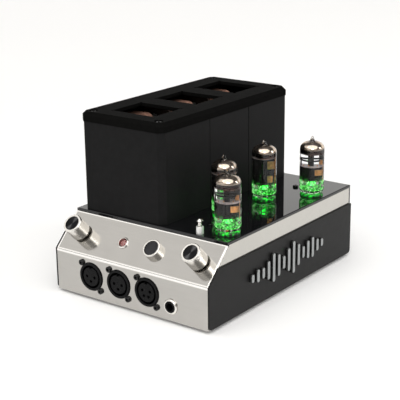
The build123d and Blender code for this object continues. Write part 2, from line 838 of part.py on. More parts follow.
def make_button_cap():
    """Black push button with a slightly domed face and a stem to its switch."""
    plane = on_panel(button_x)
    radius = button_radius - button_wall - button_cap_clearance
    face = button_stand - 0.3
    cap = rod(plane, radius, face - button_cap_thickness, face)
    cap = fillet(cap.edges().filter_by(GeomType.CIRCLE).sort_by(Axis.Z)[-1], 0.6)
    return cap + rod(plane, button_stem_radius, -button_barrel_length - 2, face - button_cap_thickness)


def make_button_switch():
    """Switch body on the end of the button's barrel, with a blind bore for the stem."""
    plane = on_panel(button_x)
    bottom = -button_barrel_length - button_switch_length
    body = rod(plane, button_barrel_radius, bottom, -button_barrel_length)
    depth = 2 + button_travel + 0.5
    return body - rod(plane, button_stem_radius + 0.15, -button_barrel_length - depth, 0)


def make_pilot_bezel():
    """Thin bright ring and barrel around the pilot jewel."""
    plane = on_panel(pilot_x)
    bezel = rod(plane, pilot_radius, 0, pilot_stand)
    bezel = chamfer(bezel.edges().filter_by(GeomType.CIRCLE).sort_by(Axis.Z)[-1], 0.6)
    bezel += rod(plane, pilot_barrel_radius, -pilot_depth, 0)
    return bezel - rod(plane, pilot_jewel_radius + 0.05, -pilot_depth - 1, pilot_stand + 1)


def make_pilot_jewel():
    """Red jewel, cut with eight facets that meet in a flat table."""
    plane = on_panel(pilot_x)
    jewel = rod(plane, pilot_jewel_radius, -4, pilot_stand - 0.4)
    base = plane * Pos(0, 0, pilot_stand - 0.4) * RegularPolygon(pilot_jewel_radius, 8)
    table = plane * Pos(0, 0, pilot_stand + 1.1) * RegularPolygon(pilot_jewel_radius * 0.45, 8)
    return jewel + loft([base.face(), table.face()])


def make_pilot_lamp():
    """Small lamp in the barrel behind the jewel."""
    plane = on_panel(pilot_x)
    lamp = rod(plane, 2.4, -pilot_depth, -6.5)
    return lamp + plane * Pos(0, 0, -6.5) * Sphere(2.3)


# --- Toggle switch on the deck ---------------------------------------------------------------
def make_toggle_bush():
    """Round bush through the deck, open at the top for the lever."""
    plane = on_deck(toggle_x, toggle_y)
    bush = rod(plane, toggle_bush_radius, -deck_thickness - sheet, toggle_bush_height)
    bush = chamfer(bush.faces().sort_by(Axis.Z)[-1].edges(), 0.25)
    floor = toggle_pivot_height - toggle_ball_radius - 0.2
    return bush - rod(plane, toggle_bore_radius, floor, toggle_bush_height + 1)


def make_toggle_lever():
    """Lever with a ball at its pivot and a flared cap."""
    plane = on_deck(toggle_x, toggle_y)
    cap_base = toggle_height - 2.6
    lever = plane * Pos(0, 0, toggle_pivot_height) * Sphere(toggle_ball_radius)
    lever += rod(plane, toggle_neck_radius, toggle_pivot_height, cap_base)
    flare = Cone(toggle_neck_radius, toggle_cap_radius, 1.0, align=AT_BASE)
    lever += plane * Pos(0, 0, cap_base) * flare
    dome = Cone(toggle_cap_radius, 0.9, 1.6, align=AT_BASE)
    return lever + plane * Pos(0, 0, cap_base + 1.0) * dome


def make_toggle_body():
    """Switch body under the sub-deck."""
    top = deck_height - deck_thickness - sheet
    return block(
        (toggle_x - toggle_body_width / 2, toggle_x + toggle_body_width / 2),
        (toggle_y - toggle_body_length / 2, toggle_y + toggle_body_length / 2),
        (top - toggle_body_depth, top),
    )


# --- Sockets ---------------------------------------------------------------------------------
def xlr_planes():
    """Each XLR socket's plane and its number of contacts, front then rear."""
    planes = [(on_front(x, z), count) for (x, z), count in zip(xlr_front_places, xlr_pin_counts)]
    return planes + [(on_rear(x, z), 3) for x, z in xlr_rear_places]


def make_xlr_shells():
    """Round socket shells with a mounting flange behind the panel and a thumb latch at the top."""
    shells = []
    for plane, _ in xlr_planes():
        flange = plane * Pos(0, 0, -sheet - xlr_flange_thickness) * Box(
            xlr_flange_width, xlr_flange_height, xlr_flange_thickness, align=AT_BASE
        )
        shell = flange + rod(plane, xlr_radius, -xlr_depth, xlr_stand)
        shell -= rod(plane, xlr_bore_radius, -xlr_depth + xlr_back_wall, xlr_stand + 1)
        for side in (-1, 1):
            shell -= rod(plane, screw_hole_radius, -3 * xlr_depth, 1, side * xlr_screw_x, -side * xlr_screw_z)
        shell -= rod(plane, xlr_insert_radius - 1, -xlr_depth - 1, 0)
        shells.append(shell)
    return group(shells)


def contact_places(count):
    """The contacts of an XLR socket, evenly around its lower arc."""
    spread = 180 if count == 3 else 216
    first = 180
    step = spread / (count - 1)
    angles = [radians(first + step * index - (18 if count == 4 else 0)) for index in range(count)]
    return [(xlr_pin_circle * cos(a), xlr_pin_circle * sin(a)) for a in angles]


def make_xlr_inserts():
    """Insulating plugs with the contact holes and a key slot at the top."""
    inserts = []
    for plane, count in xlr_planes():
        front = xlr_stand - xlr_insert_recess
        back = -xlr_depth + xlr_back_wall
        insert = rod(plane, xlr_insert_radius, back, front)
        faces = insert.faces().sort_by(lambda face: plane.to_local_coords(face.center()).Z)
        insert = fillet(faces[-1].edges(), 0.5)
        for px, py in contact_places(count):
            insert -= rod(plane, xlr_contact_hole, back - 1, front + 1, px, py)
        insert -= plane * Pos(0, xlr_insert_radius, 0) * Box(2.2, 2.4, 12)
        inserts.append(insert)
    return group(inserts)


def make_xlr_contacts():
    """Plated contacts down the holes of the inserts, with solder tails behind."""
    contacts = []
    for plane, count in xlr_planes():
        for px, py in contact_places(count):
            contacts.append(rod(plane, xlr_contact_radius, -xlr_depth - 3, -4, px, py))
    return group(contacts)


def make_socket_screws():
    """Black domed screws of the XLR sockets, two to each."""
    screws = []
    for plane, _ in xlr_planes():
        for side in (-1, 1):
            origin = plane.from_local_coords(Vector(side * xlr_screw_x, -side * xlr_screw_z, 0))
            place = Plane(origin=origin, x_dir=plane.x_dir, z_dir=plane.z_dir)
            screws.append(button_screw(place, screw_head_height, screw_length))
    return group(screws)


def make_headphone_jack():
    """Threaded bush and body of the 6.35 mm headphone socket."""
    plane = on_front(jack_x, jack_height)
    jack = rod(plane, jack_bush_radius, -sheet, jack_stand + jack_bush_stand)
    body = Box(jack_body_width, jack_body_height, jack_depth, align=AT_BASE)
    jack += plane * Pos(0, 0, -sheet - jack_depth) * body
    return jack - rod(plane, jack_bore_radius, -jack_bore_depth, jack_stand + 1)


def make_rca_sockets():
    """Phono sockets: round metal shells with a collar against the rear panel."""
    sockets = []
    for x, z in rca_places:
        plane = on_rear(x, z)
        shell = rod(plane, rca_radius, -6, rca_stand)
        shell += rod(plane, rca_collar_radius, 0, rca_collar)
        shell = chamfer(shell.faces().sort_by(Axis.Y)[-1].edges(), 0.4)
        sockets.append(shell - rod(plane, rca_bore_radius, -7, rca_stand + 1))
    return group(sockets)


def make_rca_insulators():
    """Insulators in the phono sockets, each with a hole for the plug's pin."""
    insulators = []
    for x, z in rca_places:
        plane = on_rear(x, z)
        plug = rod(plane, rca_bore_radius - 0.05, -6, rca_stand - 1)
        insulators.append(plug - rod(plane, rca_pin_hole, -1, rca_stand + 1))
    return group(insulators)


def make_mains_inlet():
    """Mains inlet with a recess for the lead's connector and a slot for the fuse drawer above it."""
    half_x, half_z = inlet_width / 2, inlet_tall / 2
    body_x, body_z = half_x - inlet_flange, half_z - inlet_flange
    flange = block(
        (inlet_x - half_x, inlet_x + half_x),
        (rear_y, rear_y + inlet_flange),
        (inlet_height - half_z, inlet_height + half_z),
    )
    flange = chamfer(flange.faces().sort_by(Axis.Y)[-1].edges(), 0.6)
    body = block(
        (inlet_x - body_x, inlet_x + body_x),
        (rear_y - inlet_body_depth, rear_y),
        (inlet_height - body_z, inlet_height + body_z),
    )
    inlet = flange + body
    mouth_z = inlet_mouth_middle()
    mouth = block(
        (inlet_x - inlet_mouth_width / 2, inlet_x + inlet_mouth_width / 2),
        (rear_y + inlet_flange - inlet_mouth_depth, rear_y + inlet_flange + 1),
        (mouth_z - inlet_mouth_height / 2, mouth_z + inlet_mouth_height / 2),
    )
    mouth = chamfer(mouth.edges().filter_by(Axis.Y).sort_by(Axis.Z)[-2:], 4.0)
    inlet -= mouth
    slot_x = drawer_width / 2 + drawer_clearance
    slot_z = drawer_height / 2 + drawer_clearance
    return inlet - block(
        (inlet_x - slot_x, inlet_x + slot_x),
        (rear_y + inlet_flange - drawer_depth - drawer_clearance, rear_y + inlet_flange + 1),
        (drawer_middle() - slot_z, drawer_middle() + slot_z),
    )


def inlet_mouth_middle():
    return inlet_height - inlet_tall / 2 + inlet_flange + inlet_wall + inlet_mouth_height / 2


def drawer_middle():
    return inlet_height + inlet_tall / 2 - inlet_flange - inlet_wall - drawer_height / 2


def make_inlet_blades():
    """Three flat contact blades in the mains inlet."""
    blades = []
    for step, lift in ((-1, -1.5), (0, 2.0), (1, -1.5)):
        x = inlet_x + step * inlet_blade_spacing
        z = inlet_mouth_middle() + lift
        blades.append(block(
            (x - inlet_blade_thickness / 2, x + inlet_blade_thickness / 2),
            (rear_y + inlet_flange - inlet_mouth_depth, rear_y - 1),
            (z - inlet_blade_width / 2, z + inlet_blade_width / 2),
        ))
    return group(blades)


def make_fuse_drawer():
    """Small drawer for the mains fuse, with a finger ledge."""
    face_y = rear_y + inlet_flange
    drawer = block(
        (inlet_x - drawer_width / 2, inlet_x + drawer_width / 2),
        (face_y - drawer_depth, face_y + drawer_face_stand),
        (drawer_middle() - drawer_height / 2, drawer_middle() + drawer_height / 2),
    )
    ledge = Box(drawer_width * 0.4, 2 * drawer_face_stand, drawer_height * 0.4)
    return drawer - Pos(inlet_x, face_y + drawer_face_stand, drawer_middle()) * ledge


# --- Side badges -----------------------------------------------------------------------------
def badge_heights():
    """Bar heights of a plain sound-wave pattern, the same on both sides."""
    heights = []
    for index in range(badge_bars):
        place = index / (badge_bars - 1)
        swell = sin(pi * place) ** 0.8
        ripple = 0.6 + 0.4 * cos(2 * pi * 3.5 * place)
        heights.append(badge_short + (badge_tall - badge_short) * swell * ripple)
    return heights


def badge_bar(side, index, height, near, far, width):
    """One upright bar with round ends on a side plate, between two distances from the plate."""
    pitch = (badge_length - badge_bar_width) / (badge_bars - 1)
    y = -badge_length / 2 + badge_bar_width / 2 + index * pitch
    x = side * (side_outer_x + near)
    plane = Plane(origin=(x, y, badge_middle_height), x_dir=(0, 1, 0), z_dir=(side, 0, 0))
    return plane * extrude(SlotOverall(height, width, rotation=90), amount=far - near)


def make_badge_backs():
    """Black stand-off bodies of the badge bars."""
    return group([
        badge_bar(side, index, height, 0, badge_back_thickness, badge_bar_width)
        for side in (-1, 1) for index, height in enumerate(badge_heights())
    ])


def make_badge_faces():
    """Bright faces of the badge bars."""
    far = badge_back_thickness + badge_face_thickness
    width = badge_bar_width - badge_face_border
    return group([
        badge_bar(side, index, height - badge_face_border, badge_back_thickness, far, width)
        for side in (-1, 1) for index, height in enumerate(badge_heights())
    ])


# --- Inside the chassis ----------------------------------------------------------------------
def standoff_places():
    x = board_width / 2 - standoff_inset
    y = board_length / 2 - standoff_inset
    return [(sx * x, board_y + sy * y) for sx in (-1, 1) for sy in (-1, 0, 1)]


def make_main_board():
    """Circuit board above the chassis floor."""
    board = block(
        (-board_width / 2, board_width / 2),
        (board_y - board_length / 2, board_y + board_length / 2),
        (board_height, board_height + board_thickness),
    )
    for x, y in standoff_places():
        board -= Pos(x, y, board_height) * Cylinder(screw_hole_radius, 4 * board_thickness)
    return board


def make_board_standoffs():
    """Round pillars between the floor and the board."""
    low = floor_height + sheet
    return group([
        rod(Plane(origin=(x, y, low)), standoff_radius, 0, board_height - low) for x, y in standoff_places()
    ])


def make_capacitors():
    """Smoothing capacitors on the board."""
    top = board_height + board_thickness
    cans = []
    for row in range(3):
        for column in range(2):
            x = capacitor_first_x + column * capacitor_pitch
            y = capacitor_first_y + row * capacitor_pitch
            can = rod(Plane(origin=(x, y, top)), capacitor_radius, 0, capacitor_height)
            cans.append(fillet(can.faces().sort_by(Axis.Z)[-1].edges(), 1.0))
    return group(cans)


# --- Writing the parts -----------------------------------------------------------------------
def all_parts():
    """Every node's name and shape."""
    parts = {
        "front_panel": make_front_panel(),
        "chassis_shell": make_chassis_shell(),
        "rear_panel": make_rear_panel(),
        "top_sheet": make_top_sheet(),
        "deck_plate": make_deck_plate(),
        "side_plate_right": make_side_plate(1),
        "side_plate_left": make_side_plate(-1),
        "feet": make_feet(),
        "cover_body": make_cover_body(),
        "cover_lid": make_cover_lid(),
        "lid_screws": make_lid_screws(),
        "deck_screws": make_deck_screws(),
        "transformer_cores": group([make_transformer_core(y) for y in cover_rows]),
        "transformer_windings": group([make_transformer_windings(y) for y in cover_rows]),
        "transformer_brackets": make_transformer_brackets(),
        "transformer_bolts": make_transformer_bolts(),
        "valve_sockets": make_valve_sockets(),
        "valve_lights": make_valve_lights(),
        "volume_knob": make_knob(knob_x),
        "volume_knob_disc": make_knob_disc(knob_x),
        "volume_shaft": make_shaft(knob_x),
        "volume_potentiometer": make_control(knob_x),
        "load_knob": make_knob(-knob_x),
        "load_knob_disc": make_knob_disc(-knob_x),
        "load_shaft": make_shaft(-knob_x),
        "load_switch": make_control(-knob_x),
        "panel_nuts": make_panel_nuts(),
        "button_bezel": make_button_bezel(),
        "button_cap": make_button_cap(),
        "button_switch": make_button_switch(),
        "pilot_bezel": make_pilot_bezel(),
        "pilot_jewel": make_pilot_jewel(),
        "pilot_lamp": make_pilot_lamp(),
        "toggle_bush": make_toggle_bush(),
        "toggle_lever": make_toggle_lever(),
        "toggle_body": make_toggle_body(),
        "xlr_shells": make_xlr_shells(),
        "xlr_inserts": make_xlr_inserts(),
        "xlr_contacts": make_xlr_contacts(),
        "socket_screws": make_socket_screws(),
        "headphone_jack": make_headphone_jack(),
        "rca_sockets": make_rca_sockets(),
        "rca_insulators": make_rca_insulators(),
        "mains_inlet": make_mains_inlet(),
        "inlet_blades": make_inlet_blades(),
        "fuse_drawer": make_fuse_drawer(),
        "badge_backs": make_badge_backs(),
        "badge_faces": make_badge_faces(),
        "main_board": make_main_board(),
        "board_standoffs": make_board_standoffs(),
        "capacitors": make_capacitors(),
    }
    for number, (x, y) in enumerate(valve_places, start=1):
        parts[f"valve_{number}_glass"] = make_valve_glass(x, y)
        parts[f"valve_{number}_electrodes"] = make_valve_electrodes(x, y, number in (2, 3))
    return parts


os.makedirs("parts", exist_ok=True)
for name, shape in all_parts().items():
    export_step(Pos(0, origin_shift, 0) * shape, f"parts/{name}.step")
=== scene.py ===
"""Looks for the valve headphone amplifier: finishes for every CAD node, detailed valves, coils and controls, and a
plain studio. Lengths in the piece-making code are in millimetres; MM turns them into the frame's metres."""

import json
import math
import random

import bmesh
import bpy
from mathutils import Matrix, Vector


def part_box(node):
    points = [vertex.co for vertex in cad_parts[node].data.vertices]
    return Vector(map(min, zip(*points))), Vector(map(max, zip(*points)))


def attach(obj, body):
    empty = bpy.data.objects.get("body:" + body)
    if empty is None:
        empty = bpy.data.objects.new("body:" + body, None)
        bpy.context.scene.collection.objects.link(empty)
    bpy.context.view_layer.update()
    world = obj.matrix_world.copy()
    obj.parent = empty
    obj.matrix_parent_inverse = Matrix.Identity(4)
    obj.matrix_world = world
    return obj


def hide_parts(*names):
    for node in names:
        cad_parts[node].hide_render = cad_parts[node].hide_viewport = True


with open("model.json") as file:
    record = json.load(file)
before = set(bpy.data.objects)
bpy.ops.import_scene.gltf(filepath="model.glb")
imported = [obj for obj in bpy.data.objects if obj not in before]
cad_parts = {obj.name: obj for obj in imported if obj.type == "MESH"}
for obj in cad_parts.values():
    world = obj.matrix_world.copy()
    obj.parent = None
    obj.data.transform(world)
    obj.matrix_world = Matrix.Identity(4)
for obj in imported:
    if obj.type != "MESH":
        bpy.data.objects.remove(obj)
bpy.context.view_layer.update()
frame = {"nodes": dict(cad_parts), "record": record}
scene = bpy.context.scene
nodes = frame["nodes"]
slots = {part["node"]: part["material_slot"] for part in frame["record"]["subparts"]}
MM = Matrix.Scale(0.001, 4)
VIEW_AZIMUTH = math.radians(36.95)


# --- Node helpers ----------------------------------------------------------------------------
def calculate(tree, operation, *values, clamp=False):
    """The output of a maths node; each value is a number or another node's output."""
    made = tree.nodes.new("ShaderNodeMath")
    made.operation = operation
    made.use_clamp = clamp
    for socket, value in zip(made.inputs, values):
        if isinstance(value, (int, float)):
            socket.default_value = value
        else:
            tree.links.new(value, socket)
    return made.outputs[0]


def remap(tree, source, start, end, low=0.0, high=1.0, easing="LINEAR"):
    """The source's range from start to end turned into low to high, and held there beyond it."""
    made = tree.nodes.new("ShaderNodeMapRange")
    made.interpolation_type = easing
    for socket, value in (("From Min", start), ("From Max", end), ("To Min", low), ("To Max", high)):
        made.inputs[socket].default_value = value
    tree.links.new(source, made.inputs["Value"])
    return made.outputs[0]


def set_stops(ramp, *stops):
    """Gives a colour ramp these stops, as (position, colour) pairs."""
    elements = ramp.color_ramp.elements
    while len(elements) < len(stops):
        elements.new(0.5)
    for element, (position, colour) in zip(elements, stops):
        element.position = position
        element.color = colour


# --- Finishes --------------------------------------------------------------------------------
def shaded(colour, factor):
    """A colour made lighter or darker, with full alpha."""
    return (*[min(1.0, max(0.0, channel * factor)) for channel in colour[:3]], 1.0)


class Finish:
    """A Principled material whose colour, roughness and relief vary with noise in the object's own space."""

    def __init__(self, name, colour, rough, spread=0.12, grain=500, stretch=(1, 1, 1), relief=0.1,
                 rough_spread=0.06, depth=0.0001, edge=0.0, **sockets):
        self.material = bpy.data.materials.new(name)
        self.material.use_nodes = True
        self.tree = self.material.node_tree
        self.shader = self.tree.nodes["Principled BSDF"]
        coords = self.node("ShaderNodeTexCoord")
        self.object_coords = coords.outputs["Object"]
        stretched = self.node("ShaderNodeMapping", self.object_coords)
        stretched.inputs["Scale"].default_value = stretch
        self.fine = self.node("ShaderNodeTexNoise", stretched.outputs[0])
        self.fine.inputs["Scale"].default_value = grain
        self.fine.inputs["Detail"].default_value = 5
        broad = self.node("ShaderNodeTexNoise", self.object_coords)
        broad.inputs["Scale"].default_value = grain / 14
        both = calculate(self.tree, "ADD", self.fine.outputs["Fac"], broad.outputs["Fac"])
        mottle = calculate(self.tree, "MULTIPLY", both, 0.5)
        self.ramp = self.node("ShaderNodeValToRGB", mottle)
        set_stops(self.ramp, (0.35, shaded(colour, 1 - spread)), (0.65, shaded(colour, 1 + spread)))
        self.link(self.ramp.outputs["Color"], "Base Color")
        wear = remap(self.tree, mottle, 0.3, 0.7, max(0.0, rough - rough_spread), rough + rough_spread)
        self.link(wear, "Roughness")
        self.bump = self.node("ShaderNodeBump")
        self.bump.inputs["Strength"].default_value = relief
        self.bump.inputs["Distance"].default_value = depth
        self.tree.links.new(self.fine.outputs["Fac"], self.bump.inputs["Height"])
        if edge:
            rounded = self.node("ShaderNodeBevel")
            rounded.inputs["Radius"].default_value = edge
            rounded.samples = 6
            self.tree.links.new(rounded.outputs[0], self.bump.inputs["Normal"])
        self.link(self.bump.outputs[0], "Normal")
        for socket, value in sockets.items():
            self.shader.inputs[socket.replace("_", " ")].default_value = value

    def node(self, kind, *sources):
        """A new node with these outputs joined to its first sockets."""
        made = self.tree.nodes.new(kind)
        for index, source in enumerate(sources):
            self.tree.links.new(source, made.inputs[index])
        return made

    def link(self, output, socket):
        self.tree.links.new(output, self.shader.inputs[socket])

    def bands(self, direction, scale, strength, dark, light):
        """Regular ridges along X, Y or Z, in relief and in colour."""
        wave = self.node("ShaderNodeTexWave", self.object_coords)
        wave.bands_direction = direction
        wave.inputs["Scale"].default_value = scale
        wave.inputs["Distortion"].default_value = 0.2
        self.bump.inputs["Strength"].default_value = strength
        self.tree.links.new(wave.outputs["Fac"], self.bump.inputs["Height"])
        self.tree.links.new(wave.outputs["Fac"], self.ramp.inputs["Fac"])
        set_stops(self.ramp, (0.2, dark), (0.8, light))

    def fade(self, low, high):
        """0 at height low to 1 at height high, in metres in the object's own space."""
        split = self.node("ShaderNodeSeparateXYZ", self.object_coords)
        return remap(self.tree, split.outputs["Z"], low, high)


def metal(name, colour, rough, **settings):
    return Finish(name, colour, rough, Metallic=1.0, **settings)


def front_with_painted_highlights():
    """The front's brushed steel, with painted highlights: its fold and the cut edges of its sloping part get a much
    brighter base colour in place of the light they catch.
    """
    made = metal("stainless_front", (0.475, 0.461, 0.437), 0.13, spread=0.03, grain=900, stretch=(0.05, 1, 1),
                 relief=0.05, rough_spread=0.03, edge=0.0005)
    low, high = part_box("front_panel")
    slope_height = 0.0259
    fold = Vector((0, low.y + 0.0004, high.z - slope_height))
    flat = made.node("ShaderNodeVectorMath", made.object_coords)
    flat.operation = "MULTIPLY"
    flat.inputs[1].default_value = (0, 1, 1)
    near = made.node("ShaderNodeVectorMath", flat.outputs[0])
    near.operation = "DISTANCE"
    near.inputs[1].default_value = fold
    split = made.node("ShaderNodeSeparateXYZ", made.object_coords)
    tree = made.tree
    # painted highlights: bands along the sloping part's side edges, its top edge and the fold
    side_edge_highlight = remap(tree, calculate(tree, "ABSOLUTE", split.outputs["X"]), high.x - 0.0014, high.x - 0.0009)
    above_fold = remap(tree, split.outputs["Z"], fold.z - 0.0005, fold.z)
    top_edge_highlight = remap(tree, split.outputs["Z"], high.z - 0.0009, high.z - 0.0005)
    fold_highlight = remap(tree, near.outputs["Value"], 0.0019, 0.0011)
    painted_highlight = calculate(tree, "MAXIMUM", fold_highlight, calculate(tree, "MULTIPLY", side_edge_highlight, above_fold))
    painted_highlight = calculate(tree, "MAXIMUM", painted_highlight, top_edge_highlight)
    # mix the near-white painted highlight colour into those bands
    tone = made.node("ShaderNodeMix", painted_highlight)
    tone.data_type = "RGBA"
    tree.links.new(made.ramp.outputs["Color"], tone.inputs[6])
    tone.inputs[7].default_value = (0.97, 0.95, 0.92, 1)
    made.link(tone.outputs[2], "Base Color")
    return made


def lit_socket():
    """Black ceramic, its rim above the deck given a painted green glow in patches: emission in place of the light
    from the valve's foot falling on it.
    """
    made = Finish("lit_socket", (0.012, 0.012, 0.012), 0.3, grain=900, Emission_Strength=2.4)
    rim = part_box("valve_sockets")[1].z
    noise = made.node("ShaderNodeTexNoise", made.object_coords)
    noise.inputs["Scale"].default_value = 420
    tone = made.node("ShaderNodeValToRGB", noise.outputs["Fac"])
    # painted glow: green emission patches on the rim above the deck
    set_stops(tone, (0.44, (0.0, 0.004, 0.0, 1)), (0.54, (0.0, 0.11, 0.006, 1)), (0.7, (0.004, 0.5, 0.012, 1)))
    masked = made.node("ShaderNodeMix", made.fade(rim - 0.0024, rim - 0.0012))
    masked.data_type = "RGBA"
    masked.inputs[6].default_value = (0, 0, 0, 1)
    made.tree.links.new(tone.outputs["Color"], masked.inputs[7])
    made.link(masked.outputs[2], "Emission Color")
    return made


def cut_glass():
    """The jewel's red glass, its facets painted in cells of red with painted white highlights and painted black
    reflections.
    """
    made = Finish("red_jewel", (0.4, 0.01, 0.01), 0.08, grain=400, IOR=1.3)
    cells = made.node("ShaderNodeTexVoronoi", made.object_coords)
    cells.inputs["Scale"].default_value = 430
    chance = made.node("ShaderNodeSeparateColor", cells.outputs["Color"])
    tone = made.node("ShaderNodeValToRGB", chance.outputs[0])
    tone.color_ramp.interpolation = "CONSTANT"
    # near-black and near-white cells are painted reflections; the reds are the glass's own colour
    set_stops(tone, (0.0, (0.006, 0.002, 0.002, 1)), (0.3, (0.20, 0.006, 0.01, 1)), (0.55, (0.38, 0.02, 0.025, 1)),
              (0.78, (0.85, 0.70, 0.66, 1)))
    made.link(tone.outputs["Color"], "Base Color")
    return made


def make_finishes():
    """One finish for each of the record's material slots."""
    made = {
        "stainless": metal("stainless", (0.55, 0.535, 0.50), 0.16, spread=0.03, grain=900, stretch=(0.05, 1, 1),
                           relief=0.05, rough_spread=0.03, edge=0.0005),
        "rear_black": Finish("rear_black", (0.02, 0.02, 0.021), 0.45, grain=2500, relief=0.25, edge=0.0004,
                             Specular_IOR_Level=0.3),
        "zinc_steel": metal("zinc_steel", (0.50, 0.50, 0.50), 0.36, spread=0.18, grain=350),
        "side_black": Finish("side_black", (0.0115, 0.0115, 0.0115), 0.5, grain=3000, relief=0.2, edge=0.0005,
                             Specular_IOR_Level=0.18),
        "deck_gloss": Finish("deck_gloss", (0.006, 0.006, 0.007), 0.03, grain=300, relief=0.0, rough_spread=0.015,
                             edge=0.0003, IOR=1.5),
        "cover_black": Finish("cover_black", (0.0128, 0.0128, 0.0131), 0.46, grain=3200, relief=0.3, edge=0.0006,
                              IOR=1.1),
        "rubber": Finish("rubber", (0.012, 0.012, 0.012), 0.8, grain=1500, relief=0.3),
        "screw_black": Finish("screw_black", (0.003, 0.003, 0.003), 0.12, grain=900, relief=0.1, IOR=1.35),
        "lamination": Finish("lamination", (0.05, 0.045, 0.04), 0.6, grain=700),
        "copper_wire": metal("copper_wire", (0.19, 0.105, 0.078), 0.42, spread=0.9, grain=700),
        "glass_clear": Finish("glass_clear", (1.0, 1.0, 1.0), 0.0, spread=0.0, rough_spread=0.0, relief=0.02,
                              grain=120, Transmission_Weight=1.0, IOR=1.25),
        "electrode_grey": Finish("electrode_grey", (0.055, 0.053, 0.052), 0.45, grain=800, Metallic=0.6),
        "ceramic_black": Finish("ceramic_black", (0.012, 0.012, 0.012), 0.4, grain=900),
        "green_light": Finish("green_light", (0.05, 0.9, 0.12), 0.2, Emission_Color=(0.03, 1.0, 0.06, 1),
                              Emission_Strength=4.0),
        "chrome": metal("chrome", (0.80, 0.775, 0.735), 0.19, spread=0.05, grain=700, relief=0.03,
                        rough_spread=0.04, edge=0.0003),
        "black_anodised": metal("black_anodised", (0.035, 0.035, 0.037), 0.32, spread=0.2, grain=900,
                                Anisotropic=0.7),
        "red_jewel": cut_glass(),
        "socket_black": Finish("socket_black", (0.004, 0.004, 0.0045), 0.28, grain=1200, relief=0.1, edge=0.0003,
                               IOR=1.2),
        "contact_gold": metal("contact_gold", (0.75, 0.52, 0.22), 0.25, grain=900),
        "board_green": Finish("board_green", (0.012, 0.09, 0.04), 0.4, grain=250, spread=0.3),
        "capacitor_sleeve": Finish("capacitor_sleeve", (0.01, 0.01, 0.03), 0.3, grain=500),
        "badge_black": Finish("badge_black", (0.008, 0.008, 0.008), 0.2, grain=900),
        "badge_silver": metal("badge_silver", (0.36, 0.375, 0.375), 0.3, spread=0.08, grain=1500,
                              stretch=(1, 1, 0.1), edge=0.0002),
        "phono_white": Finish("phono_white", (0.7, 0.69, 0.66), 0.3, grain=500),
    }
    made["front"] = front_with_painted_highlights()
    made["lid"] = Finish("lid_black", (0.0052, 0.0052, 0.005), 0.5, grain=3200, relief=0.2, edge=0.0006, IOR=1.03)
    made["socket"] = lit_socket()
    made["bush"] = Finish("satin_nickel", (0.9, 0.9, 0.89), 0.35, spread=0.04, grain=900, relief=0.04, Metallic=0.4)
    made["lamination"].bands("Z", 320, 0.5, (0.02, 0.018, 0.016, 1), (0.1, 0.09, 0.08, 1))
    return made


finishes = make_finishes()
special = {"front_panel": "front", "cover_lid": "lid", "valve_sockets": "socket", "toggle_bush": "bush"}
for node_name, node in nodes.items():
    node.data.materials.clear()
    chosen = special.get(node_name, slots[node_name])
    node.data.materials.append(finishes[chosen].material)


# --- Making pieces ---------------------------------------------------------------------------
def around(count):
    """Evenly spaced angles through one whole turn."""
    return [2 * math.pi * step / count for step in range(count)]


def lathe(shape, profile, place=Matrix(), steps=48):
    """Turns a profile of (radius, height) points about the Z of place."""
    rings = []
    for radius, height in profile:
        angles = around(steps) if radius else [0.0]
        points = [Vector((radius * math.cos(a), radius * math.sin(a), height)) for a in angles]
        rings.append([shape.verts.new(place @ point) for point in points])
    for lower, upper in zip(rings, rings[1:]):
        for step in range(steps):
            after = (step + 1) % steps
            corners = [lower[step % len(lower)], lower[after % len(lower)],
                       upper[after % len(upper)], upper[step % len(upper)]]
            corners = list(dict.fromkeys(corners))
            if len(corners) > 2:
                shape.faces.new(corners)


def tube(shape, path, radius, place=Matrix(), sides=8, closed=False):
    """A round wire along a path of points."""
    points = [Vector(point) for point in path]
    count = len(points)
    rings = []
    normal = None
    for index, point in enumerate(points):
        before = points[index - 1] if index or closed else point
        after = points[(index + 1) % count] if index < count - 1 or closed else point
        along = (after - before).normalized()
        if normal is None:
            normal = along.orthogonal().normalized()
        normal = (normal - along * normal.dot(along)).normalized()
        across = along.cross(normal)
        ring = [point + radius * (math.cos(a) * normal + math.sin(a) * across) for a in around(sides)]
        rings.append([shape.verts.new(place @ vertex) for vertex in ring])
    pairs = list(zip(rings, rings[1:]))
    if closed:
        first = rings[0]
        last = rings[-1]
        gaps = [(last[0].co - vertex.co).length for vertex in first]
        shift = gaps.index(min(gaps))
        pairs.append((last, first[shift:] + first[:shift]))
    for lower, upper in pairs:
        for side in range(sides):
            after = (side + 1) % sides
            shape.faces.new((lower[side], lower[after], upper[after], upper[side]))
    if not closed:
        shape.faces.new(rings[0][::-1])
        shape.faces.new(rings[-1])


def prism(shape, outline, low, high, place=Matrix()):
    """A flat outline of (x, y) points, raised from low to high."""
    floor = [shape.verts.new(place @ Vector((x, y, low))) for x, y in outline]
    roof = [shape.verts.new(place @ Vector((x, y, high))) for x, y in outline]
    shape.faces.new(floor[::-1])
    shape.faces.new(roof)
    for index in range(len(outline)):
        after = (index + 1) % len(outline)
        shape.faces.new((floor[index], floor[after], roof[after], roof[index]))


def rounded_box(half_x, half_y, corner, steps=5, centre=(0, 0)):
    """The outline of a rectangle with round corners."""
    outline = []
    for quarter, (sx, sy) in enumerate(((1, 1), (-1, 1), (-1, -1), (1, -1))):
        for step in range(steps + 1):
            angle = math.pi / 2 * (quarter + step / steps)
            outline.append((centre[0] + sx * (half_x - corner) + corner * math.cos(angle),
                            centre[1] + sy * (half_y - corner) + corner * math.sin(angle)))
    return outline


